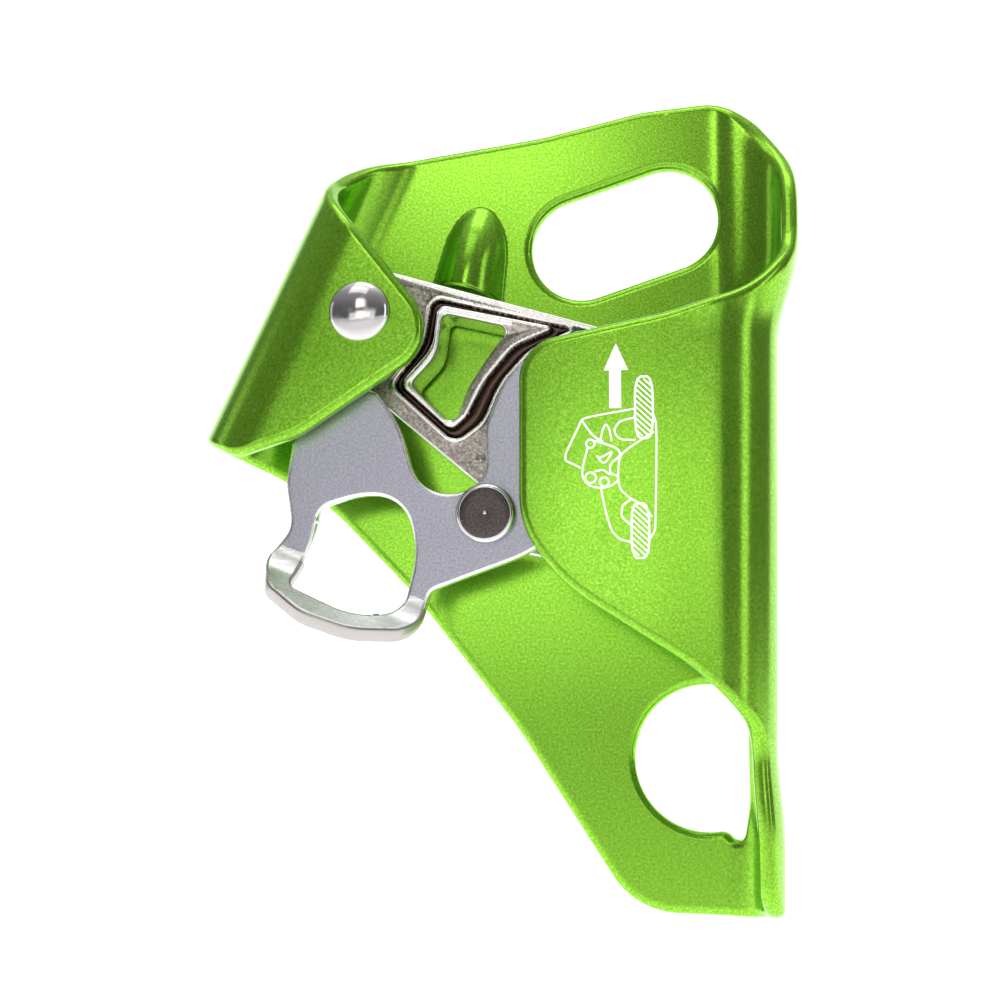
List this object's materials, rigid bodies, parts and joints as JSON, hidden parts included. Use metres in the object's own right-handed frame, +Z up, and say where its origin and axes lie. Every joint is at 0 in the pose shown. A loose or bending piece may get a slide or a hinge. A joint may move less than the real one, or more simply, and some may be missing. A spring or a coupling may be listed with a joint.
{
  "type": "chest ascender",
  "caption": "Folded sheet chest ascender: rope channel, sprung toothed cam on a domed axle, finger-hole safety catch, strap slot above and harness hole below.",
  "frame": {"origin": "centre of the harness hole, on the inner face of the back plate", "axes": "+Z up the rope, +X towards the rope channel, +Y out of the back of the plate, so the open front with its two flaps faces -Y"},
  "size_m": [0.0911, 0.024, 0.1255],
  "materials": {
    "frame_green": "satin metallic lacquer over folded sheet",
    "cast_steel": "nickel chrome plated casting",
    "blasted_aluminium": "bead blasted",
    "polished_steel": "polished",
    "dark_steel": "dark face, bright chamfer",
    "plain_steel": "plain",
    "spring_steel": "drawn wire",
    "bronze": "plain bearing"
  },
  "bodies": {
    "frame": {"frame": "frame_green", "cam_axle": "polished_steel", "axle_collar": "polished_steel", "front_washer": "plain_steel", "rear_washer": "plain_steel", "cam_spring": "spring_steel"},
    "cam": {"cam": "cast_steel", "cam_bushing": "bronze", "catch_pin": "dark_steel", "catch_washer": "plain_steel", "catch_spring": "spring_steel"},
    "catch": {"catch": "blasted_aluminium"}
  },
  "joints": [
    {"name": "cam_pivot", "type": "hinge", "parent": "frame", "child": "cam", "pos_m": [-0.0504, -0.007, 0.0662], "axis": [0, 1, 0], "range_deg": [0, 45], "stiffness_Nm_per_rad": 0.05, "springref_deg": -34.38},
    {"name": "catch_pivot", "type": "hinge", "parent": "cam", "child": "catch", "pos_m": [-0.0319, -0.01115, 0.036], "axis": [0, 1, 0], "range_deg": [-72, 0], "stiffness_Nm_per_rad": 0.004, "springref_deg": 28.65}
  ],
  "couplings": [
    {"joint": "catch_pivot", "follows": "cam_pivot", "ratio": -1.6}
  ]
}
